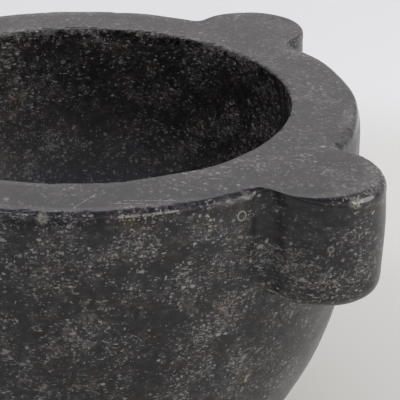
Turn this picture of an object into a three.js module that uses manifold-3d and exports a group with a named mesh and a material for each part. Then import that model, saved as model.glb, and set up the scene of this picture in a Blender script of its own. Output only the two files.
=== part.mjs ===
// A stone mortar with four lugs, and the stone pestle that stands in its bowl.
//
// The mortar is one carved block: a round-bellied body on a small flat foot, a thick flat rim, a deep
// bowl, and four U-shaped lugs whose tops are level with the rim. The pestle is a separate stone club.
// It leans in the bowl, with its head on the bowl's floor and its grip on the inner edge of the rim.
//
// Millimetres, +Z up. The origin is the centre of the foot, on the surface that the mortar stands on.
// +X and +Y each run out through the middle of a lug.
import * as THREE from "three";
import { mergeVertices } from "three/addons/utils/BufferGeometryUtils.js";
import Module from "manifold-3d";

// ---- driving dimensions -------------------------------------------------------------------------
const HEIGHT = 190; // foot to rim
const RIM_RADIUS = 140; // outer edge of the flat rim
const RIM_WEAR = 2.5; // rounding of that edge
const BOWL_RADIUS = 107.5; // inner edge of the flat rim
const BOWL_WEAR = 1.8; // rounding of that edge
const BOWL_DEPTH = 132;
const BOWL_FULLNESS = 2.6; // exponent of the bowl's curve: 2 is an ellipse, and more is squarer
const BELLY_RADIUS = 142.5; // the widest part of the body, just under the rim
const BELLY_DROP = 12.5; // how far below the rim that is
const BODY_REACH = 200; // how far below the belly the body's curve would close, if it had no foot
const BODY_FULLNESS = 2.75; // exponent of the body's curve
const FOOT_WEAR = 3; // rounding of the foot's edge

const LUG_WIDTH = 59;
const LUG_HEIGHT = 56.5; // rim to the underside of a lug, at its tip
const LUG_RISE = 5.5; // how much higher the underside is where it meets the body
const LUG_REACHES = [179, 175.5, 179, 175.5]; // axis of the mortar to a lug's tip, for +X, +Y, -X, -Y
const LUG_ROOT = 118; // where a lug's inner end is, sunk in the mortar's wall
const LUG_FLARE = 9; // how much a lug's side spreads where it meets the body
const LUG_WEAR = 7; // rounding of the edge round a lug's underside

const PESTLE_LENGTH = 215;
const HEAD_RADIUS = 27;
const GRIP_RADIUS = 16.5; // the narrowest part, where it leans on the rim
const KNOB_RADIUS = 20.5;
const HEAD_OFFSET = 45; // centre of the head to the axis of the mortar
const PESTLE_HEADING = 236; // degrees about Z, from +X, of the side that it leans towards
const CLEARANCE = 0.4; // gap that the pestle keeps to the mortar

const MORTAR_FACETS = 72; // round the whole circle
const PESTLE_FACETS = 32;
const WALL_STEPS = 12; // from the foot to the belly, and from the rim to the floor of the bowl
const EDGE_STEPS = 3; // round a worn edge
const LUG_STEPS = 10; // round a quarter of a lug's end
const HEAD_STEPS = 6; // round a quarter of the pestle's head, and of its knob
const SHAFT_STEPS = 10; // from the head to the grip
const NECK_STEPS = 5; // from the grip to the knob
const TRIALS = 400; // places on the bowl's wall that are tried for the one that the head touches

// ---- solids -------------------------------------------------------------------------------------
const wasm = await Module();
wasm.setup();

// A closed geometry as a solid that can be joined and cut.
function solidOf(geometry) {
  const bare = geometry.clone();
  bare.deleteAttribute("normal");
  bare.deleteAttribute("uv");
  const merged = mergeVertices(bare, 1e-4);
  const corners = merged.index.array;
  const kept = [];
  for (let i = 0; i < corners.length; i += 3) {
    const [a, b, c] = corners.slice(i, i + 3);
    if (a !== b && b !== c && c !== a) kept.push(a, b, c);
  }
  const vertProperties = merged.attributes.position.array;
  return new wasm.Manifold(new wasm.Mesh({ numProp: 3, vertProperties, triVerts: Uint32Array.from(kept) }));
}

function geometryOf(solid) {
  const mesh = solid.getMesh();
  const geometry = new THREE.BufferGeometry();
  geometry.setAttribute("position", new THREE.BufferAttribute(mesh.vertProperties, 3));
  geometry.setIndex(new THREE.BufferAttribute(mesh.triVerts, 1));
  return geometry;
}

// ---- profiles -----------------------------------------------------------------------------------
// Profiles are points of (radius, height), from the axis at the bottom, out and up, to the axis again.

function turned(profile, facets) {
  return new THREE.LatheGeometry(profile, facets).rotateX(Math.PI / 2);
}

// Points on an arc about (x, y), from one angle to another in degrees.
function arc(x, y, radius, from, to, steps) {
  return Array.from({ length: steps + 1 }, (_, i) => {
    const angle = THREE.MathUtils.degToRad(THREE.MathUtils.lerp(from, to, i / steps));
    return new THREE.Vector2(x + radius * Math.cos(angle), y + radius * Math.sin(angle));
  });
}

// Numbers from 0 to 1 that lie closer together towards 1.
function closingSteps(count) {
  return Array.from({ length: count + 1 }, (_, i) => Math.sin(((i / count) * Math.PI) / 2));
}

// Radius of the body at a height, from the foot to the belly.
function bodyRadius(height) {
  const drop = (HEIGHT - BELLY_DROP - height) / BODY_REACH;
  return BELLY_RADIUS * Math.sqrt(1 - drop ** BODY_FULLNESS);
}

// Radius of the bowl at a depth below the rim.
function bowlRadius(depth) {
  return BOWL_RADIUS * Math.sqrt(1 - (depth / BOWL_DEPTH) ** BOWL_FULLNESS);
}

function mortarProfile() {
  const belly = HEIGHT - BELLY_DROP;
  const side = closingSteps(WALL_STEPS).map((share) => FOOT_WEAR + share * (belly - FOOT_WEAR));
  const bowl = closingSteps(WALL_STEPS).map((share) => BOWL_WEAR + share * (BOWL_DEPTH - BOWL_WEAR));
  return [
    new THREE.Vector2(0, 0),
    new THREE.Vector2(bodyRadius(0) - FOOT_WEAR, 0),
    ...side.map((height) => new THREE.Vector2(bodyRadius(height), height)),
    ...arc(RIM_RADIUS - RIM_WEAR, HEIGHT - RIM_WEAR, RIM_WEAR, 0, 90, EDGE_STEPS),
    ...arc(BOWL_RADIUS + BOWL_WEAR, HEIGHT - BOWL_WEAR, BOWL_WEAR, 90, 150, EDGE_STEPS - 1),
    ...bowl.map((depth) => new THREE.Vector2(bowlRadius(depth), HEIGHT - depth)),
  ];
}

// ---- mortar -------------------------------------------------------------------------------------
// Plan of a lug along +X: straight sides that spread where they meet the body, and a half-round end.
function lugPlan(reach) {
  const half = LUG_WIDTH / 2;
  const spread = half + LUG_FLARE;
  const wall = Math.sqrt(BELLY_RADIUS ** 2 - spread ** 2);
  const nose = reach - half;
  const plan = new THREE.Shape();
  plan.moveTo(LUG_ROOT, -spread);
  plan.lineTo(wall, -spread);
  plan.quadraticCurveTo(wall + LUG_FLARE / 2, -half, nose, -half);
  plan.absarc(nose, 0, half, -Math.PI / 2, Math.PI / 2, false);
  plan.quadraticCurveTo(wall + LUG_FLARE / 2, half, wall, spread);
  plan.lineTo(LUG_ROOT, spread);
  plan.closePath();
  return plan;
}

// A lug's block with its underside sloped up towards the body.
function sloped(block, reach) {
  const position = block.attributes.position;
  for (let i = 0; i < position.count; i += 1) {
    const inward = (reach - position.getX(i)) / (reach - BELLY_RADIUS);
    if (position.getZ(i) < LUG_HEIGHT / 2) position.setZ(i, position.getZ(i) + LUG_RISE * inward);
  }
  return block;
}

// A lug's block, with its underside's edge rounded. Its top is above the rim, to be cut level.
function lugBlock(reach) {
  const options = {
    depth: LUG_HEIGHT,
    curveSegments: LUG_STEPS,
    bevelThickness: LUG_WEAR,
    bevelSize: LUG_WEAR,
    bevelOffset: -LUG_WEAR,
    bevelSegments: EDGE_STEPS,
  };
  const block = new THREE.ExtrudeGeometry(lugPlan(reach), options);
  return sloped(block, reach).translate(0, 0, HEIGHT - LUG_HEIGHT + LUG_WEAR);
}

function mortarGeometry() {
  let stone = solidOf(turned(mortarProfile(), MORTAR_FACETS));
  LUG_REACHES.forEach((reach, i) => {
    stone = stone.add(solidOf(lugBlock(reach).rotateZ((i * Math.PI) / 2)));
  });
  const over = new THREE.BoxGeometry(4 * RIM_RADIUS, 4 * RIM_RADIUS, HEIGHT);
  return geometryOf(stone.subtract(solidOf(over.translate(0, 0, 1.5 * HEIGHT))));
}

// ---- pestle -------------------------------------------------------------------------------------
// Height of the centre of a ball that rests in the bowl, with the clearance under it. It tries many
// places down the bowl's wall, and the one that holds the ball highest is the one that it touches.
function ballHeight(radius, offset) {
  const reach = radius + CLEARANCE;
  const touches = closingSteps(TRIALS)
    .map((share) => share * BOWL_DEPTH)
    .map((depth) => ({ wall: HEIGHT - depth, aside: bowlRadius(depth) - offset }))
    .filter(({ aside }) => Math.abs(aside) < reach)
    .map(({ wall, aside }) => wall + Math.sqrt(reach ** 2 - aside ** 2));
  return Math.max(...touches);
}

// Where the pestle stands: the height of its head's centre, its lean from upright, and how far along
// it from the head's centre it passes the rim's inner edge.
function pestleStance() {
  const height = ballHeight(HEAD_RADIUS, HEAD_OFFSET);
  const across = BOWL_RADIUS + BOWL_WEAR - HEAD_OFFSET;
  const up = HEIGHT - BOWL_WEAR - height;
  const aside = GRIP_RADIUS + BOWL_WEAR + CLEARANCE;
  const lean = Math.atan2(across, up) - Math.asin(aside / Math.hypot(across, up));
  return { height, lean, along: Math.sqrt(across ** 2 + up ** 2 - aside ** 2) };
}

// Profile of the pestle about its own axis, with the head's centre at height 0.
function pestleProfile(grip) {
  const top = PESTLE_LENGTH - HEAD_RADIUS - KNOB_RADIUS;
  const swell = (from, to, share) => THREE.MathUtils.lerp(from, to, (1 - Math.cos(Math.PI * share)) / 2);
  const stretch = (radii, heights, count) =>
    Array.from({ length: count - 1 }, (_, i) => {
      const share = (i + 1) / count;
      return new THREE.Vector2(swell(...radii, share), THREE.MathUtils.lerp(...heights, share));
    });
  return [
    ...arc(0, 0, HEAD_RADIUS, -90, 0, HEAD_STEPS),
    ...stretch([HEAD_RADIUS, GRIP_RADIUS], [0, grip], SHAFT_STEPS),
    new THREE.Vector2(GRIP_RADIUS, grip),
    ...stretch([GRIP_RADIUS, KNOB_RADIUS], [grip, top], NECK_STEPS),
    ...arc(0, top, KNOB_RADIUS, 0, 90, HEAD_STEPS),
  ];
}

// ---- assembly -----------------------------------------------------------------------------------
function stone(name, geometry, color, roughness) {
  const mesh = new THREE.Mesh(geometry, new THREE.MeshStandardMaterial({ color, roughness, metalness: 0 }));
  mesh.name = name;
  return mesh;
}

const object = new THREE.Group();
object.add(stone("mortar", mortarGeometry(), 0x3e3c3c, 0.42));

const stance = pestleStance();
const pestle = stone("pestle", turned(pestleProfile(stance.along), PESTLE_FACETS), 0x454342, 0.5);
pestle.position.set(HEAD_OFFSET, 0, stance.height);
pestle.rotation.y = stance.lean;
const heading = new THREE.Group();
heading.rotation.z = THREE.MathUtils.degToRad(PESTLE_HEADING);
heading.add(pestle);
object.add(heading);

export default object;
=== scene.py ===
"""A lugged mortar of black fossil limestone, with its stone pestle leaning in the bowl.

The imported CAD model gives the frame: +Z up, the origin at the centre of the mortar's foot, and a lug on
each of +X, +Y, -X and -Y. Both CAD solids are replaced by fine meshes with hand-carved unevenness, worn
edges and chips, in a procedural limestone. All lengths are in metres.
"""

import math

import bpy
import numpy as np
from mathutils import Matrix, Vector


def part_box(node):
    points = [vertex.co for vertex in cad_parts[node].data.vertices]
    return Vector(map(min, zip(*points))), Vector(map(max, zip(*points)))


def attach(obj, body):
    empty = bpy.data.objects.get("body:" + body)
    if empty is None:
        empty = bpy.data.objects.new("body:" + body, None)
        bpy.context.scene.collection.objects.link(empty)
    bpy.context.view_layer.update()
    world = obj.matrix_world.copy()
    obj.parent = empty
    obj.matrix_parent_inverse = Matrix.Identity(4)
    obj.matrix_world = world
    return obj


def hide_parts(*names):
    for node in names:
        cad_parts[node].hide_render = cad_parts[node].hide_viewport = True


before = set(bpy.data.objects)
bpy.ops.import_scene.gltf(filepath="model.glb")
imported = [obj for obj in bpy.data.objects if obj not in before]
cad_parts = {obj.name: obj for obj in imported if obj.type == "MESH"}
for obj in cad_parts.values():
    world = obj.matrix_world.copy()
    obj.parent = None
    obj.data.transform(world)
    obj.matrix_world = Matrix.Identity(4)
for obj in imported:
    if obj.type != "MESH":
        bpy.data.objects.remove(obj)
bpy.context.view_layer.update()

# ---- sizes of the mortar ------------------------------------------------------------------------
MORTAR_LOW, MORTAR_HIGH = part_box("mortar")
PESTLE_LOW, PESTLE_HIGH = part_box("pestle")
HEIGHT = MORTAR_HIGH.z
RIM_RADIUS = 0.140
BELLY_RADIUS = 0.1425
BELLY_DROP = 0.0125
BODY_REACH = 0.200
BODY_FULLNESS = 2.75
BOWL_RADIUS = 0.1075
BOWL_DEPTH = 0.132
BOWL_FULLNESS = 2.6
FOOT_WEAR = 0.003
FOOT_CORE = 0.06  # radius of the foot's innermost ring of points, as a share of the foot
FOOT_RINGS = 7  # rings of points on its flat

LUG_HALF = 0.0295
LUG_HEIGHT = 0.0565  # rim to the underside of a lug, at its tip
LUG_RISE = 0.0055  # how much higher the underside is where it meets the body
LUG_TIP = 0.036  # how far a tip stands out from the body
LUG_REACHES = (MORTAR_HIGH.x, MORTAR_HIGH.y, -MORTAR_LOW.x, -MORTAR_LOW.y)
LUG_FILLET = 0.0065  # hollow where a lug's side meets the body
LUG_UNDER_FILLET = 0.004  # hollow where its underside does
LUG_UNDER_WEAR = 0.0028  # rounding of the edge round its underside, at its sides
LUG_TIP_WEAR = 0.0055  # how much rounder that edge is at its tip
LUG_TAPER = 0.0012  # how much shorter a lug is at its underside
LUG_BULGE = 0.0006  # how far its face swells between top and underside
UNDER_LEAD = 0.012  # from the underside of a lug's tip down to where the band of undersides starts
UNDER_END = 0.018  # and up to where that band ends
CLIMB_STOP = 0.0045  # how far below the underside the body's own rows in that band end

OUTER_WEAR = 0.0023  # rounding of the rim's outer edge
TIP_WEAR = 0.0026  # how much rounder that edge is at the tips of the lugs
INNER_WEAR = 0.0010  # rounding of its inner edge
EDGE_DROP = 0.006  # from the rim down to where the band of its outer edge starts
OUTER_INSET = 0.0032  # from the rounding inwards to where that band ends
INNER_OUTSET = 0.0052  # from the bowl outwards to where the top ends
BOWL_START = 0.0068  # how deep the bowl's own band starts
MOST_OUTER_WEAR = 0.0052  # less than EDGE_DROP, so that the edge never folds over
MOST_INNER_WEAR = 0.0019

LARGE_UNEVEN, SMALL_UNEVEN = 0.00045, 0.00018  # how far hand carving strays, in broad and small waves
CHIP_SCATTER = 0.0004  # how far the middle of a chip strays from the edge

# ---- sizes of the pestle ------------------------------------------------------------------------
PESTLE_LENGTH = 0.215
HEAD_RADIUS = 0.027
GRIP_RADIUS = 0.0165
KNOB_RADIUS = 0.0205
GRIP_PLACE = 0.125  # centre of the head to the narrowest part
PESTLE_HEADING = math.radians(236)
HEAD_OFFSET = 0.045
PESTLE_COLUMNS = 144
PESTLE_LARGE_UNEVEN, PESTLE_SMALL_UNEVEN = 0.00022, 0.00008
PESTLE_SHRINK = 0.0003  # how far its surface lies inside the CAD's, to keep its gap

COLUMNS = 456  # of the mortar's mesh, round it
EDGE_FACTOR = 3  # how many times more columns its worn edges have


# ---- numbers ------------------------------------------------------------------------------------
def smooth(x, low=0.0, high=1.0):
    """0 below low, 1 above high, and a soft step between."""
    t = np.clip((x - low) / (high - low), 0, 1)
    return t * t * (3 - 2 * t)


def waves(points, size, seed, count=28):
    """A smooth random field over points, about -1 to 1, with bumps about size across."""
    rng = np.random.RandomState(seed)
    total = np.zeros(points.shape[:-1])
    for _ in range(count):
        direction = rng.normal(size=3)
        direction /= np.linalg.norm(direction)
        pitch = 2 * math.pi / (size * rng.uniform(1.2, 2.8))
        total += np.cos(points @ (direction * pitch) + rng.uniform(0, 2 * math.pi))
    return total / math.sqrt(count)


def ring(angles, radius):
    """Points on a level circle round the axis."""
    return radius * np.stack([np.cos(angles), np.sin(angles), np.zeros_like(angles)], -1)


# ---- plan of the mortar -------------------------------------------------------------------------
def outline(angle):
    """Radius of the mortar's plan at the rim, round the lugs, for an array of angles."""
    quarter = np.round(angle / (math.pi / 2)).astype(int)
    off = np.abs(angle - quarter * math.pi / 2)
    centre = np.array(LUG_REACHES)[quarter % 4] - LUG_HALF
    hollow = BELLY_RADIUS + LUG_FILLET
    hollow_x = math.sqrt(hollow**2 - (LUG_HALF + LUG_FILLET) ** 2)
    hollow_angle = math.atan2(LUG_HALF + LUG_FILLET, hollow_x)
    side_start = math.atan2(LUG_HALF, hollow_x)
    nose = centre * np.cos(off) + np.sqrt(np.maximum(LUG_HALF**2 - (centre * np.sin(off)) ** 2, 0))
    side = LUG_HALF / np.sin(np.maximum(off, 0.05))
    turn = off - hollow_angle
    depth = np.sqrt(np.maximum(LUG_FILLET**2 - (hollow * np.sin(turn)) ** 2, 0))
    radius = np.where(off < hollow_angle, hollow * np.cos(turn) - depth, BELLY_RADIUS)
    radius = np.where(off < side_start, side, radius)
    return np.where(off < np.arctan2(LUG_HALF, centre), nose, radius)


def column_angles(factor):
    """Angles of the mesh's columns, evenly spaced along the plan's outline."""
    fine = np.linspace(-math.pi / 4, 2 * math.pi - math.pi / 4, 40001)
    radius = outline(fine)
    step = np.hypot(np.diff(radius), radius[:-1] * np.diff(fine))
    travelled = np.concatenate([[0], np.cumsum(step)])
    even = np.linspace(0, travelled[-1], factor * COLUMNS + 1)[:-1]
    return np.interp(even, travelled, fine)


# ---- sections of the mortar ---------------------------------------------------------------------
# Each section is a band of rows of (radius, height), as an array of (rows, columns, 2).
def rows_of(pairs, columns):
    """A band from pairs of a radius and a height, which may be numbers or one for each column."""
    return np.array([np.stack(np.broadcast_arrays(r, z, np.zeros(columns))[:2], -1) for r, z in pairs])


def resampled(line, count):
    """A band with count rows evenly spaced along each of its columns."""
    steps = np.linalg.norm(np.diff(line, axis=0), axis=2)
    travelled = np.concatenate([np.zeros((1, line.shape[1])), np.cumsum(steps, axis=0)])
    result = np.empty((count, line.shape[1], 2))
    for i in range(line.shape[1]):
        places = np.linspace(0, travelled[-1, i], count)
        result[:, i, 0] = np.interp(places, travelled[:, i], line[:, i, 0])
        result[:, i, 1] = np.interp(places, travelled[:, i], line[:, i, 1])
    return result


def body_radius(height):
    drop = np.clip((HEIGHT - BELLY_DROP - height) / BODY_REACH, 0, 1)
    return BELLY_RADIUS * np.sqrt(1 - drop**BODY_FULLNESS)


def bowl_radius(depth):
    return BOWL_RADIUS * np.sqrt(1 - (depth / BOWL_DEPTH) ** BOWL_FULLNESS)


def wall_radius(height, excess):
    """Radius of the outer wall at a height, where the plan stands excess outside the belly."""
    lug = smooth(excess, 0, 0.006)
    ease = np.clip((height - HEIGHT + BELLY_DROP) / BELLY_DROP, 0, 1) ** 1.7
    plain = body_radius(height) - (BELLY_RADIUS - RIM_RADIUS) * ease * (1 - lug)
    fall = np.clip((HEIGHT - height) / LUG_HEIGHT, 0, 1)
    face = (LUG_TAPER * fall - LUG_BULGE * np.sin(math.pi * fall)) * smooth(excess, 0.002, 0.03)
    return plain + (BELLY_RADIUS - body_radius(height)) * lug + excess - face


def foot_section(columns):
    edge = body_radius(0.0) - FOOT_WEAR
    flat = [(edge * share, 0.0) for share in np.linspace(FOOT_CORE, 1, FOOT_RINGS)]
    turns = np.linspace(0, math.pi / 2, 6)[1:-1]
    rounded = [(edge + FOOT_WEAR * math.sin(t), FOOT_WEAR * (1 - math.cos(t))) for t in turns]
    return rows_of(flat + rounded, columns)


def side_section(columns):
    """The body from its foot to just under the lugs."""
    top = HEIGHT - LUG_HEIGHT - UNDER_LEAD
    heights = FOOT_WEAR + (top - FOOT_WEAR) * np.linspace(0, 1, 26) ** 0.85
    return rows_of([(body_radius(height), height) for height in heights], columns)


def under_section(excess):
    """From just under the lugs, out along a lug's underside, round its edge, to its face."""
    base = HEIGHT - LUG_HEIGHT + LUG_RISE * np.clip(1 - excess / LUG_TIP, 0, 1)
    start, end = HEIGHT - LUG_HEIGHT - UNDER_LEAD, HEIGHT - LUG_HEIGHT + UNDER_END
    fillet = np.minimum(LUG_UNDER_FILLET, 0.3 * excess)
    tip = smooth(excess, 0.012, 0.034)
    wear = np.minimum(LUG_UNDER_WEAR + LUG_TIP_WEAR * tip, 0.7 * excess)
    inner = body_radius(base)
    climbs = [start + (base - CLIMB_STOP - start) * share for share in np.linspace(0, 1, 6)]
    pairs = [(body_radius(height), height) for height in climbs]
    for turn in np.linspace(0, math.pi / 2, 7):
        pairs.append((inner + fillet * (1 - math.cos(turn)), base - fillet * (1 - math.sin(turn))))
    for turn in np.linspace(0, math.pi / 2, 11):
        height = base + wear * (1 - math.cos(turn))
        pairs.append((wall_radius(height, excess) - wear * (1 - math.sin(turn)), height))
    for share in (0.35, 0.7, 1.0):
        height = (base + wear) + (end - base - wear) * share
        pairs.append((wall_radius(height, excess), height))
    return resampled(rows_of(pairs, len(excess)), 27)[1:]


def face_section(excess):
    """The wall and the lugs' faces, from above the lugs' undersides to just below the rim."""
    heights = np.linspace(HEIGHT - LUG_HEIGHT + UNDER_END, HEIGHT - EDGE_DROP, 12)[1:]
    return rows_of([(wall_radius(height, excess), height) for height in heights], len(excess))


def outer_edge_section(excess, wear):
    """The worn outer edge of the rim and of the lugs' tops."""
    leads = [HEIGHT - wear - (EDGE_DROP - wear) * share for share in (0.75, 0.5, 0.25)]
    pairs = [(wall_radius(height, excess), height) for height in leads]
    for turn in np.linspace(0.05, 1, 7) * math.pi / 2:
        height = HEIGHT - wear * (1 - math.sin(turn))
        pairs.append((wall_radius(height, excess) - wear * (1 - math.cos(turn)), height))
    edge = wall_radius(HEIGHT, excess) - wear
    pairs += [(edge - inset, HEIGHT) for inset in (0.0005, 0.0012, 0.0021, OUTER_INSET)]
    return rows_of(pairs, len(excess))


def top_section(excess, wear):
    """The flat top, from inside the outer edge to just outside the inner edge."""
    outer = wall_radius(HEIGHT, excess) - wear - OUTER_INSET
    inner = BOWL_RADIUS + INNER_OUTSET
    shares = np.linspace(0, 1, 13)[1:]
    return rows_of([(outer + (inner - outer) * share, HEIGHT) for share in shares], len(excess))


def inner_edge_section(wear):
    outsets = (0.0030, 0.0021, 0.0013, 0.0007, 0.0003)
    pairs = [(BOWL_RADIUS + wear + outset, HEIGHT) for outset in outsets]
    for turn in np.linspace(0, 1, 6) * math.pi / 2:
        pairs.append((BOWL_RADIUS + wear * (1 - math.sin(turn)), HEIGHT - wear * (1 - math.cos(turn))))
    pairs += [(bowl_radius(depth), HEIGHT - depth) for depth in (0.0022, 0.0030, 0.0040, 0.0052)]
    return rows_of(pairs, len(wear))


def bowl_section(columns):
    start = math.asin((BOWL_START / BOWL_DEPTH) ** (BOWL_FULLNESS / 2))
    turns = start + (math.pi / 2 - start) * np.linspace(0, 0.972, 27)
    depths = BOWL_DEPTH * np.sin(turns) ** (2 / BOWL_FULLNESS)
    return rows_of([(BOWL_RADIUS * math.cos(t), HEIGHT - d) for t, d in zip(turns, depths)], columns)


def mortar_bands():
    """The mortar's bands of points, as (rows, columns, 3), from its foot to the floor of its bowl."""
    coarse, fine = column_angles(1), column_angles(EDGE_FACTOR)
    excess, fine_excess = outline(coarse) - BELLY_RADIUS, outline(fine) - BELLY_RADIUS

    def outer_wear(angles, excess):
        uneven = 1 + 0.35 * waves(ring(angles, RIM_RADIUS), 0.03, 11)
        wear = np.maximum(OUTER_WEAR * uneven, 0.0007) + TIP_WEAR * smooth(excess, 0.008, 0.03)
        return np.minimum(wear, MOST_OUTER_WEAR)

    inner_uneven = 1 + 0.4 * waves(ring(fine, BOWL_RADIUS), 0.02, 12)
    inner_wear = np.clip(INNER_WEAR * inner_uneven, 0.0004, MOST_INNER_WEAR)
    sections = {
        "foot": (coarse, foot_section(COLUMNS)),
        "side": (coarse, side_section(COLUMNS)),
        "under": (coarse, under_section(excess)),
        "face": (coarse, face_section(excess)),
        "outer_edge": (fine, outer_edge_section(fine_excess, outer_wear(fine, fine_excess))),
        "top": (coarse, top_section(excess, outer_wear(coarse, excess))),
        "inner_edge": (fine, inner_edge_section(inner_wear)),
        "bowl": (coarse, bowl_section(COLUMNS)),
    }
    bands = {}
    for name, (angles, section) in sections.items():
        radius, height = section[..., 0], section[..., 1]
        bands[name] = np.stack([radius * np.cos(angles), radius * np.sin(angles), height], -1)
    return bands


# ---- carving and wear ---------------------------------------------------------------------------
def grid_normals(grid):
    """Outward normals of a band whose columns close on themselves."""
    around = np.roll(grid, -1, axis=1) - np.roll(grid, 1, axis=1)
    along = np.gradient(grid, axis=0)
    normal = np.cross(around, along)
    return normal / np.maximum(np.linalg.norm(normal, axis=2, keepdims=True), 1e-12)


# How rough each edge is: the row that chips start from as a share of the band, how many chips there
# are, their least and most size and depth, and the stretches where they crowd, as (angle, spread) in
# degrees.
EDGE_CHIPS = {
    "outer_edge": (
        0.50, 170, (0.0008, 0.0028), (0.0002, 0.0007),
        ((-47, 7), (-26, 5), (14, 6), (-100, 9)),
    ),
    "inner_edge": (
        0.60, 260, (0.0008, 0.0030), (0.0002, 0.0011),
        ((112, 26), (75, 14), (150, 12), (-120, 9)),
    ),
    "under": (
        0.62, 70, (0.0020, 0.0050), (0.0002, 0.0007),
        ((-30, 60), (150, 80)),
    ),
}


def chip_angles(rng, count, stretches):
    """Angles for chips: a few lie anywhere and the rest crowd in the rough stretches."""
    angles = rng.uniform(-math.pi, math.pi, count)
    for i in range(count // 6, count):
        middle, spread = stretches[rng.randint(len(stretches))]
        angles[i] = math.radians(middle + spread * rng.normal())
    return angles


def bite(points, centres, sizes, depths):
    """How deep chips of the given centres, sizes and depths bite at each point."""
    deepest = np.zeros(points.shape[:-1])
    for centre, size, depth in zip(centres, sizes, depths):
        gap = np.sum((points - centre) ** 2, axis=-1) / size**2
        near = gap < 1
        deepest[near] = np.maximum(deepest[near], depth * (1 - gap[near]) ** 0.6)
    return deepest


def chip_edge(band, normals, name, rng):
    """A band with its chips cut, and how freshly broken each of its points is."""
    share, count, size, depth, stretches = EDGE_CHIPS[name]
    row = int((len(band) - 1) * share)
    around = np.arctan2(band[row, :, 1], band[row, :, 0])
    angles = (chip_angles(rng, count, stretches) + math.pi) % (2 * math.pi) - math.pi
    picks = np.array([np.argmin(np.abs(around - angle)) for angle in angles])
    small = rng.uniform(0, 1, count) ** 1.6
    sizes = size[0] + (size[1] - size[0]) * small
    depths = rng.uniform(*depth, count) * sizes / size[1]
    centres = band[row, picks] + rng.normal(size=(count, 3)) * CHIP_SCATTER
    deep = bite(band, centres, sizes, depths)
    return band - normals[row][None] * deep[..., None], smooth(deep, 0.0001, 0.0006)


def carve(bands):
    """Hand-carved unevenness and chips, for each band. Returns the new bands and how broken they are."""
    rng = np.random.RandomState(5)
    evenness = {"foot": 0.2, "outer_edge": 0.5, "top": 0.25, "inner_edge": 0.5}
    carved, broken = {}, {}
    for name, band in bands.items():
        normals = grid_normals(band)
        uneven = LARGE_UNEVEN * waves(band, 0.05, 1) + SMALL_UNEVEN * waves(band, 0.014, 2)
        band = band + normals * (uneven * evenness.get(name, 1.0))[..., None]
        broken[name] = np.zeros(band.shape[:2])
        if name in EDGE_CHIPS:
            band, broken[name] = chip_edge(band, normals, name, rng)
        carved[name] = band
    carved["foot"][:FOOT_RINGS, :, 2] = 0.0
    return carved, broken


# ---- meshes -------------------------------------------------------------------------------------
def joined_rows(low, high):
    """Faces between two rows of point numbers, where one may have a multiple of the other's columns."""
    if len(low) == len(high):
        return np.stack([low, np.roll(low, -1), np.roll(high, -1), high], -1).tolist()
    fine, coarse = (high, low) if len(high) > len(low) else (low, high)
    factor = len(fine) // len(coarse)
    faces = []
    for i, near in enumerate(coarse):
        far = coarse[(i + 1) % len(coarse)]
        run = [fine[(i * factor + k) % len(fine)] for k in range(factor + 1)]
        middle = factor // 2
        fans = [(near, far, run[middle])]
        fans += [(near, run[k + 1], run[k]) for k in range(middle)]
        fans += [(far, run[k + 1], run[k]) for k in range(middle, factor)]
        faces += [fan if fine is high else fan[::-1] for fan in fans]
    return [[int(point) for point in face] for face in faces]


def closed_mesh(name, bands, low_pole, high_pole, values):
    """A mesh from bands of rows that close round, with a pole at each end, and its point values."""
    rows, count = [], 0
    for band in bands:
        for row in band:
            rows.append(np.arange(count, count + len(row)))
            count += len(row)
    faces = [face for low, high in zip(rows, rows[1:]) for face in joined_rows(low, high)]
    faces += [[count, int(b), int(a)] for a, b in zip(rows[0], np.roll(rows[0], -1))]
    faces += [[int(a), int(b), count + 1] for a, b in zip(rows[-1], np.roll(rows[-1], -1))]
    points = np.concatenate([band.reshape(-1, 3) for band in bands] + [[low_pole, high_pole]])
    mesh = bpy.data.meshes.new(name)
    mesh.from_pydata(points.tolist(), [], faces)
    mesh.polygons.foreach_set("use_smooth", np.ones(len(mesh.polygons), bool))
    for label, value in values.items():
        attribute = mesh.attributes.new(label, "FLOAT", "POINT")
        whole = np.concatenate([part.reshape(-1) for part in value] + [[0, 0]])
        attribute.data.foreach_set("value", whole.astype(np.float32))
    mesh.update()
    piece = bpy.data.objects.new(name, mesh)
    bpy.context.scene.collection.objects.link(piece)
    return piece


def marked_bands(bands, names):
    """For each band, 1 at all its points if it is one of the names, and 0 if it is not."""
    return [np.full(band.shape[:2], float(name in names)) for name, band in bands.items()]


def make_mortar():
    bands, broken = carve(mortar_bands())
    values = {
        "broken": list(broken.values()),
        "handled": marked_bands(bands, ("outer_edge", "inner_edge")),
        "ground": marked_bands(bands, ("bowl",)),
    }
    poles = (0, 0, 0), (0, 0, HEIGHT - BOWL_DEPTH)
    return closed_mesh("mortar_stone", list(bands.values()), *poles, values)


def pestle_profile():
    """The pestle's radii and heights along its own axis, with the centre of its head at 0."""
    top = PESTLE_LENGTH - HEAD_RADIUS - KNOB_RADIUS
    radii, heights = [], []

    def swell(radius, to_radius, height, to_height, count):
        for share in np.linspace(0, 1, count + 1)[1:]:
            radii.append(radius + (to_radius - radius) * (1 - math.cos(math.pi * share)) / 2)
            heights.append(height + (to_height - height) * share)

    for turn in np.linspace(0.06, 1, 22) * math.pi / 2:
        radii.append(HEAD_RADIUS * math.sin(turn))
        heights.append(-HEAD_RADIUS * math.cos(turn))
    swell(HEAD_RADIUS, GRIP_RADIUS, 0, GRIP_PLACE, 39)
    swell(GRIP_RADIUS, KNOB_RADIUS, GRIP_PLACE, top, 15)
    for turn in np.linspace(0, 0.94, 18)[1:] * math.pi / 2:
        radii.append(KNOB_RADIUS * math.cos(turn))
        heights.append(top + KNOB_RADIUS * math.sin(turn))
    return np.array(radii), np.array(heights), top + KNOB_RADIUS


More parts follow.
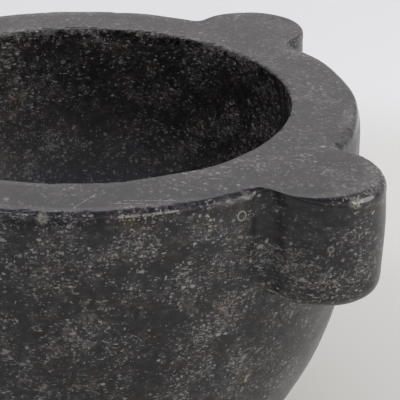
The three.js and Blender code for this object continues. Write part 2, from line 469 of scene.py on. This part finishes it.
def pestle_stance():
    """The pestle's place in the frame: its height and its lean come from its CAD box."""
    low = PESTLE_LOW.z + HEAD_RADIUS
    centre = Vector((HEAD_OFFSET * math.cos(PESTLE_HEADING), HEAD_OFFSET * math.sin(PESTLE_HEADING), low))
    shaft = PESTLE_LENGTH - HEAD_RADIUS - KNOB_RADIUS
    lean = math.acos((PESTLE_HIGH.z - KNOB_RADIUS - centre.z) / shaft)
    heading = Matrix.Rotation(PESTLE_HEADING, 4, "Z")
    return Matrix.Translation(centre) @ heading @ Matrix.Rotation(lean, 4, "Y")


def make_pestle():
    radii, heights, top = pestle_profile()
    angles = np.linspace(0, 2 * math.pi, PESTLE_COLUMNS + 1)[:-1]
    x, y = radii[:, None] * np.cos(angles), radii[:, None] * np.sin(angles)
    grid = np.stack(np.broadcast_arrays(x, y, heights[:, None]), -1)
    uneven = PESTLE_LARGE_UNEVEN * waves(grid, 0.03, 21) + PESTLE_SMALL_UNEVEN * waves(grid, 0.01, 22)
    ground = 1 - smooth(grid[..., 2], -0.010, 0.012)
    grid = grid + grid_normals(grid) * (uneven - PESTLE_SHRINK)[..., None]
    poles = (0, 0, PESTLE_SHRINK - HEAD_RADIUS), (0, 0, top - PESTLE_SHRINK)
    piece = closed_mesh("pestle_stone", [grid], *poles, {"ground": [ground]})
    piece.data.transform(pestle_stance())
    return piece


# ---- materials ----------------------------------------------------------------------------------
MATRIX_BLACK = (0.0134, 0.0123, 0.0131)  # where its tone is middling
MATRIX_BROWN = (0.0178, 0.0134, 0.0112)
GRAIN_GREY = (0.225, 0.222, 0.205)
GRAIN_CREAM = (0.250, 0.222, 0.182)
# cream of the knocks, fossils and scratches, and of the painted glint lines on edges
MARK_AND_GLINT_CREAM = (0.26, 0.25, 0.20)
WORN_GREY = (0.16, 0.155, 0.135)
MIDDLING_LEVEL = 0.685  # of the random field that makes the matrix darker or paler


class Graph:
    """Short names for making the nodes of a material or of the world."""

    def __init__(self, tree):
        self.tree = tree

    def put(self, socket, value):
        if isinstance(value, bpy.types.NodeSocket):
            self.tree.links.new(value, socket)
        elif value is not None:
            socket.default_value = value

    def node(self, kind, **settings):
        made = self.tree.nodes.new(kind)
        for name, value in settings.items():
            setattr(made, name, value)
        return made

    def math(self, operation, a, b=None, c=None, clamp=False):
        made = self.node("ShaderNodeMath", operation=operation, use_clamp=clamp)
        for socket, value in zip(made.inputs, (a, b, c)):
            self.put(socket, value)
        return made.outputs[0]

    def product(self, *factors):
        result = factors[0]
        for factor in factors[1:]:
            result = self.math("MULTIPLY", result, factor)
        return result

    def greatest(self, *values):
        result = values[0]
        for value in values[1:]:
            result = self.math("MAXIMUM", result, value)
        return result

    def vector(self, operation, a, b=None):
        made = self.node("ShaderNodeVectorMath", operation=operation)
        self.put(made.inputs[0], a)
        self.put(made.inputs["Scale" if operation == "SCALE" else 1], b)
        gives_number = operation in ("LENGTH", "DISTANCE", "DOT_PRODUCT")
        return made.outputs["Value" if gives_number else "Vector"]

    def step(self, value, low, high):
        """0 at low, 1 at high, softly; low may be above high."""
        made = self.node("ShaderNodeMapRange", interpolation_type="SMOOTHSTEP")
        for name, number in (("Value", value), ("From Min", low), ("From Max", high)):
            self.put(made.inputs[name], number)
        return made.outputs["Result"]

    def placed(self, point, turn, scale):
        """The point turned and stretched, for a grain that lies along another direction."""
        made = self.node("ShaderNodeMapping")
        self.put(made.inputs["Vector"], point)
        made.inputs["Rotation"].default_value = turn
        made.inputs["Scale"].default_value = scale
        return made.outputs[0]

    def noise(self, point, scale, detail=2.0, roughness=0.5):
        made = self.node("ShaderNodeTexNoise")
        settings = {"Vector": point, "Scale": scale, "Detail": detail, "Roughness": roughness}
        for name, value in settings.items():
            self.put(made.inputs[name], value)
        return made

    def cells(self, point, scale):
        """The distance to the middle of a random cell, and the cell's three random numbers."""
        made = self.node("ShaderNodeTexVoronoi", feature="F1")
        self.put(made.inputs["Vector"], point)
        self.put(made.inputs["Scale"], scale)
        parts = self.node("ShaderNodeSeparateColor")
        self.put(parts.inputs[0], made.outputs["Color"])
        return made.outputs["Distance"], parts.outputs

    def mix(self, share, a, b):
        made = self.node("ShaderNodeMix", data_type="RGBA")
        self.put(made.inputs["Factor"], share)
        for name, colour in (("A", a), ("B", b)):
            linked = isinstance(colour, bpy.types.NodeSocket)
            self.put(made.inputs[name], colour if linked else (*colour, 1))
        return made.outputs["Result"]

    def attribute(self, name):
        return self.node("ShaderNodeAttribute", attribute_name=name).outputs["Fac"]


def new_material(name):
    """An empty material and its graph."""
    material = bpy.data.materials.new(name)
    material.use_nodes = True
    material.node_tree.nodes.clear()
    return material, Graph(material.node_tree)


def grains(g, point, crowding, scale, keep, small, large):
    """Pale grains, one in each kept cell: more are kept where crowding is over a half.

    keep is the share of cells that hold a grain, and small and large its radius as shares of a cell.
    """
    distance, chance = g.cells(point, scale)
    size = g.math("MULTIPLY_ADD", chance[0], large - small, small)
    inside = g.step(distance, size, g.math("MULTIPLY", size, 0.6))
    luck = g.math("ADD", chance[1], g.math("MULTIPLY_ADD", crowding, 2.4, -1.2))
    kept = g.step(luck, 1.0 - keep, 1.04 - keep)
    return g.product(inside, kept, g.math("MULTIPLY_ADD", chance[2], 0.65, 0.35))


def rings(g, point, scale, keep, radius, width):
    """Thin pale rings, the cut stems of sea lilies, in a few of the cells."""
    distance, chance = g.cells(point, scale)
    away = g.math("ABSOLUTE", g.math("SUBTRACT", distance, radius))
    kept = g.step(chance[1], 1.0 - keep, 1.02 - keep)
    return g.product(g.step(away, width, width * 0.4), kept)


def spot(g, point, centre, radius):
    """1 at a place and 0 beyond a radius from it."""
    distance = g.vector("DISTANCE", point, centre)
    return g.step(distance, radius, radius * 0.35)


def scratch(g, point, start, end, width):
    """1 on a straight line of a width between two points."""
    start, end = Vector(start), Vector(end)
    run = end - start
    away = g.vector("SUBTRACT", point, tuple(start))
    along = g.math("DIVIDE", g.vector("DOT_PRODUCT", away, tuple(run.normalized())), run.length, clamp=True)
    nearest = g.vector("SCALE", tuple(run), along)
    return g.step(g.vector("DISTANCE", away, nearest), width, width * 0.3)


def on_wall(degrees, below_rim):
    """A point on the body's wall."""
    angle, height = math.radians(degrees), HEIGHT - below_rim
    radius = float(wall_radius(np.array(height), np.array(0.0)))
    return (radius * math.cos(angle), radius * math.sin(angle), height)


# What marks this one stone: (place, radius) of the knocks on its edges, of the spots where its shell
# hash crowds, and of its clearest ring fossils, and the ends of the scratches on its rim.
KNOCKS = (
    (on_wall(-54.5, 0.002), 0.0040),
    (on_wall(-11.0, 0.002), 0.0032),
    ((0.1757, -0.0111, HEIGHT - 0.0024), 0.0044),  # on the front lug's top corner
)
CROWDS = (
    (on_wall(-29.4, 0.033), 0.0090),
    (on_wall(-37.0, 0.015), 0.0100),
    (on_wall(-15.7, 0.088), 0.0080),
    (on_wall(-24.3, 0.067), 0.0085),
    (on_wall(-12.5, 0.030), 0.0110),
    ((0.1583, -0.0268, HEIGHT - 0.0314), 0.0105),  # on the front lug's face
    ((0.1700, -0.0210, HEIGHT - 0.0440), 0.0100),
)
BARE_AND_SHADED = (  # where the matrix is made dark and almost clean: bare stone on the lug and the wall, and painted shade in the hollow where the front lug meets the wall
    ((0.1560, -0.0280, HEIGHT - 0.0120), 0.0150),
    ((0.1720, -0.0200, HEIGHT - 0.0090), 0.0080),
    # painted shade: the dark band in the hollow beside the front lug
    (on_wall(-12.0, 0.020), 0.0130),
    (on_wall(-45.0, 0.009), 0.0110),
)
RING_MARKS = (
    (on_wall(-17.3, 0.0105), 0.0022, 0.75),  # with how clearly each shows
    ((0.1691, -0.0204, HEIGHT - 0.0244), 0.0016, 0.45),
)
PAINTED_GLINT_LINES = (  # painted highlights: pale lines that stand for glints on edges, one in two runs below the rim, one on the front lug's lower edge
    (on_wall(-41.0, 0.0022), on_wall(-35.5, 0.0022)),
    (on_wall(-35.5, 0.0022), on_wall(-30.0, 0.0022)),
    ((0.1415, -0.0290, HEIGHT - 0.0504), (0.1555, -0.0287, HEIGHT - 0.0525)),
)
RIM_SCRATCHES = (
    ((0.0998, -0.0814), (0.1166, -0.0665)),
    ((0.0973, -0.0872), (0.1076, -0.0784)),
    ((0.0876, -0.1006), (0.0854, -0.0837)),
    ((0.1098, -0.0236), (0.1128, -0.0206)),
    ((0.1129, -0.0382), (0.1164, -0.0350)),
    ((-0.0666, 0.1033), (-0.0618, 0.1098)),
)


def marks(g, point, ragged):
    """The knocks, clear fossils and scratches of the mortar, and the painted glint lines on its edges."""
    crumbled = g.step(g.noise(ragged, 600, 2, 0.6).outputs["Fac"], 0.36, 0.56)
    shown = g.product(g.greatest(*[spot(g, ragged, *knock) for knock in KNOCKS]), crumbled, 0.8)
    for centre, radius, clearness in RING_MARKS:
        away = g.math("SUBTRACT", g.vector("DISTANCE", point, centre), radius)
        shown = g.greatest(shown, g.product(g.step(g.math("ABSOLUTE", away), 0.0005, 0.00015), clearness))
    # painted highlights: pale lines that stand for glints on the edges
    for start, end in PAINTED_GLINT_LINES:
        shown = g.greatest(shown, g.product(scratch(g, point, start, end, 0.0008), crumbled, 0.9))
    for start, end in RIM_SCRATCHES:
        line = scratch(g, point, (*start, HEIGHT), (*end, HEIGHT), 0.0005)
        shown = g.greatest(shown, g.product(line, crumbled, 0.9))
    return shown


def patches(g, bed, ragged, ragged_place, marked):
    """Random fields: how crowded the shell hash is, and the broad and the fine tone of the matrix."""
    broad = g.noise(bed, 38, 4, 0.62).outputs["Fac"]
    cloud = g.noise(ragged, 230, 4, 0.72).outputs["Fac"]
    crowding = g.math("ADD", g.product(broad, 0.72), g.product(cloud, 0.28))
    if marked:
        crowd = g.greatest(*[spot(g, ragged_place, *patch) for patch in CROWDS])
        # dark spots: bare stone, and painted shade where the front lug meets the wall
        bare_and_shaded = g.greatest(*[spot(g, ragged_place, *patch) for patch in BARE_AND_SHADED])
        crowding = g.math("MULTIPLY_ADD", crowd, 0.17, crowding)
        crowding = g.math("MULTIPLY_ADD", bare_and_shaded, -0.16, crowding)
        broad = g.math("MULTIPLY_ADD", bare_and_shaded, -0.15, broad)
    return crowding, broad, cloud


def shell_hash(g, ragged, crowding):
    """1 where a piece of shell or a fossil ring shows in the stone, and 0 in its matrix."""
    shard_place = g.placed(ragged, (0.3, 0.2, 0.9), (270, 270, 950))
    sliver_place = g.placed(ragged, (-0.5, 0.4, -0.4), (240, 860, 300))
    fine = g.product(grains(g, ragged, crowding, scale=720, keep=0.36, small=0.25, large=0.55), 0.8)
    middling = grains(g, ragged, crowding, scale=330, keep=0.32, small=0.18, large=0.42)
    shards = grains(g, shard_place, crowding, scale=1, keep=0.20, small=0.2, large=0.5)
    slivers = grains(g, sliver_place, crowding, scale=1, keep=0.16, small=0.2, large=0.5)
    coarse = grains(g, ragged, crowding, scale=150, keep=0.18, small=0.12, large=0.30)
    stems = g.product(rings(g, ragged, scale=70, keep=0.07, radius=0.13, width=0.035), 0.4)
    return g.greatest(fine, middling, shards, slivers, coarse, stems)


def unworn_colour(g, bed, pale, level, depth):
    """The matrix, darker or paler with its level, and the grains in it."""
    tone = g.math("EXPONENT", g.math("MULTIPLY_ADD", level, depth, -MIDDLING_LEVEL * depth))
    brownness = g.step(g.noise(bed, 55, 3, 0.6).outputs["Fac"], 0.46, 0.66)
    creaminess = g.step(g.noise(bed, 90, 2, 0.5).outputs["Fac"], 0.50, 0.66)
    matrix = g.vector("SCALE", g.mix(brownness, MATRIX_BLACK, MATRIX_BROWN), tone)
    return g.mix(pale, matrix, g.mix(creaminess, GRAIN_GREY, GRAIN_CREAM))


def finish_surface(g, shader, place, pale, worn, roughness):
    """Roughness and bump: smoother where hands rub the edges, rougher where it grinds or is worn."""
    rubbed = g.step(g.noise(place, 16, 1, 0.5).outputs["Fac"], 0.40, 0.52)
    polish = g.math("MULTIPLY", g.attribute("handled"), rubbed)
    rough = g.math("MULTIPLY_ADD", pale, 0.10, roughness)
    rough = g.math("MULTIPLY_ADD", polish, -0.15, rough)
    rough = g.math("MULTIPLY_ADD", g.attribute("ground"), 0.13, rough)
    rough = g.math("MULTIPLY_ADD", worn, 0.35, rough, clamp=True)
    g.put(shader.inputs["Roughness"], rough)
    shader.inputs["Specular IOR Level"].default_value = 0.42
    bump = g.node("ShaderNodeBump")
    g.put(bump.inputs["Strength"], g.math("MULTIPLY_ADD", polish, -0.22, 0.28))
    bump.inputs["Distance"].default_value = 0.0003
    relief = g.math("ADD", g.noise(place, 1400, 2, 0.6).outputs["Fac"], g.product(pale, -0.5))
    g.put(bump.inputs["Height"], relief)
    g.put(shader.inputs["Normal"], bump.outputs[0])


def limestone(name, depth, roughness, worn_name, worn_share, marked=False):
    """Honed black limestone full of pale shell hash.

    depth is how strongly the tone of its matrix varies, and worn_name the mesh's attribute for fresh or
    ground stone, which turns paler by worn_share.
    """
    material, g = new_material(name)
    place = g.node("ShaderNodeTexCoord").outputs["Object"]
    bed = g.placed(place, (0.12, -0.08, 0.3), (1.0, 1.0, 1.45))
    shove = g.vector("SUBTRACT", g.noise(bed, 520, 2, 0.6).outputs["Color"], (0.5, 0.5, 0.5))
    ragged = g.vector("ADD", bed, g.vector("SCALE", shove, 0.0026))
    ragged_place = g.vector("ADD", place, g.vector("SCALE", shove, 0.0050))

    crowding, broad, cloud = patches(g, bed, ragged, ragged_place, marked)
    pale = shell_hash(g, ragged, crowding)
    grit = g.noise(place, 1150, 1, 0.5).outputs["Fac"]
    fine_level = g.math("ADD", g.product(cloud, 0.75), g.product(grit, 0.22))
    level = g.math("ADD", g.product(broad, 0.40), fine_level)
    colour = unworn_colour(g, bed, pale, level, depth)
    if marked:
        # the stone's marks, with painted glint lines on its edges among them
        colour = g.mix(marks(g, place, ragged_place), colour, MARK_AND_GLINT_CREAM)
    crumb = g.step(g.noise(place, 560, 2, 0.6).outputs["Fac"], 0.42, 0.62)
    worn = g.math("MULTIPLY", g.attribute(worn_name), crumb)

    shader = g.node("ShaderNodeBsdfPrincipled")
    g.put(shader.inputs["Base Color"], g.mix(g.product(worn, worn_share), colour, WORN_GREY))
    finish_surface(g, shader, place, pale, worn, roughness)
    out = g.node("ShaderNodeOutputMaterial")
    g.put(out.inputs["Surface"], shader.outputs[0])
    return material


# ---- studio -------------------------------------------------------------------------------------
VIEW_BEARING = math.radians(42.1)  # of the camera from the rim's centre, from -Y towards +X
VIEW_RISE = math.radians(20.9)
VIEW_DISTANCE = 6.369 * RIM_RADIUS
VIEW_HEADING = math.radians(37.81)  # where it looks: the rim's centre is left of the picture's middle
VIEW_DOWN = math.radians(24.21)
VIEW_ROLL = math.radians(0.97)
SENSOR_WIDTH, LENS = 36, 158.7  # in millimetres

FLOOR_REACH = 12
FLOOR_SHADE = (0.42, 0.58)  # distances from the mortar between which the floor turns lighter
FLOOR_NEAR = (0.766, 0.772, 0.708)
FLOOR_FAR = (0.853, 0.870, 0.822)

ROOM_LOW = (0.62, 0.605, 0.612)
ROOM_MIDDLE = (1.29, 1.255, 1.27)
ROOM_OVERHEAD = (0.33, 0.325, 0.47)
ROOM_DIM_SIDE = (-0.17, -0.98, 0.0)  # the direction where it is dimmest
ROOM_DIM = 0.38  # how much dimmer it is there


def make_camera():
    """The camera, placed about the centre of the rim."""
    data = bpy.data.cameras.new("camera")
    data.sensor_width = SENSOR_WIDTH
    data.lens = LENS
    camera = bpy.data.objects.new("camera", data)
    level = math.cos(VIEW_RISE)
    away = Vector((math.sin(VIEW_BEARING) * level, -math.cos(VIEW_BEARING) * level, math.sin(VIEW_RISE)))
    tilt = Matrix.Rotation(math.pi / 2 - VIEW_DOWN, 4, "X") @ Matrix.Rotation(VIEW_ROLL, 4, "Z")
    place = Matrix.Translation(Vector((0, 0, HEIGHT)) + away * VIEW_DISTANCE)
    camera.matrix_world = place @ Matrix.Rotation(VIEW_HEADING, 4, "Z") @ tilt
    bpy.context.scene.collection.objects.link(camera)
    bpy.context.scene.camera = camera


def make_floor():
    """A pale table, a little darker where the mortar stands."""
    mesh = bpy.data.meshes.new("floor")
    corners = [(-1, -1), (1, -1), (1, 1), (-1, 1)]
    mesh.from_pydata([(x * FLOOR_REACH, y * FLOOR_REACH, 0) for x, y in corners], [], [(0, 1, 2, 3)])
    floor = bpy.data.objects.new("floor", mesh)
    bpy.context.scene.collection.objects.link(floor)
    material, g = new_material("studio_floor")
    distance = g.vector("LENGTH", g.node("ShaderNodeTexCoord").outputs["Object"])
    shader = g.node("ShaderNodeBsdfPrincipled")
    g.put(shader.inputs["Base Color"], g.mix(g.step(distance, *FLOOR_SHADE), FLOOR_NEAR, FLOOR_FAR))
    shader.inputs["Roughness"].default_value = 0.9
    shader.inputs["Specular IOR Level"].default_value = 0.1
    out = g.node("ShaderNodeOutputMaterial")
    g.put(out.inputs["Surface"], shader.outputs[0])
    mesh.materials.append(material)


def make_world():
    """A pale room: brightest on its walls, darker and cooler overhead, and dimmer on the side of -Y."""
    world = bpy.data.worlds.new("studio")
    world.use_nodes = True
    g = Graph(world.node_tree)
    direction = g.node("ShaderNodeTexCoord").outputs["Generated"]
    parts = g.node("ShaderNodeSeparateXYZ")
    g.put(parts.inputs[0], direction)
    walls = g.mix(g.step(parts.outputs["Z"], 0.20, 0.45), ROOM_LOW, ROOM_MIDDLE)
    dim = g.step(g.vector("DOT_PRODUCT", direction, ROOM_DIM_SIDE), -0.1, 0.95)
    background = g.tree.nodes["Background"]
    g.put(background.inputs["Color"], g.mix(g.step(parts.outputs["Z"], 0.48, 0.95), walls, ROOM_OVERHEAD))
    g.put(background.inputs["Strength"], g.math("MULTIPLY_ADD", dim, -ROOM_DIM, 1.0))
    bpy.context.scene.world = world


def make_light(name, place, size, energy, colour):
    """A round soft light that faces the mortar."""
    data = bpy.data.lights.new(name, "AREA")
    data.color = colour
    data.shape = "DISK"
    data.size = size
    data.energy = energy
    light = bpy.data.objects.new(name, data)
    light.location = place
    light.rotation_mode = "QUATERNION"
    light.rotation_quaternion = (Vector(place) - Vector((0, 0, HEIGHT / 2))).to_track_quat("Z", "Y")
    bpy.context.scene.collection.objects.link(light)


# ---- assembly -----------------------------------------------------------------------------------
make_camera()
make_floor()
make_world()
make_light("overhead", place=(-0.25, -0.75, 1.75), size=0.5, energy=3.6, colour=(0.90, 0.90, 1.0))
make_light("side", place=(2.1, 1.05, 0.98), size=1.55, energy=34, colour=(1.0, 0.985, 0.96))
bpy.context.scene.view_settings.view_transform = "Standard"

mortar = make_mortar()
mortar_stone = limestone(
    "mortar_limestone", depth=10.0, roughness=0.30, worn_name="broken", worn_share=0.45, marked=True
)
mortar.data.materials.append(mortar_stone)
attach(mortar, "mortar")
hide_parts("mortar")

pestle = make_pestle()
pestle_stone = limestone(
    "pestle_limestone", depth=9.5, roughness=0.42, worn_name="ground", worn_share=0.25
)
pestle.data.materials.append(pestle_stone)
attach(pestle, "pestle")
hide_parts("pestle")
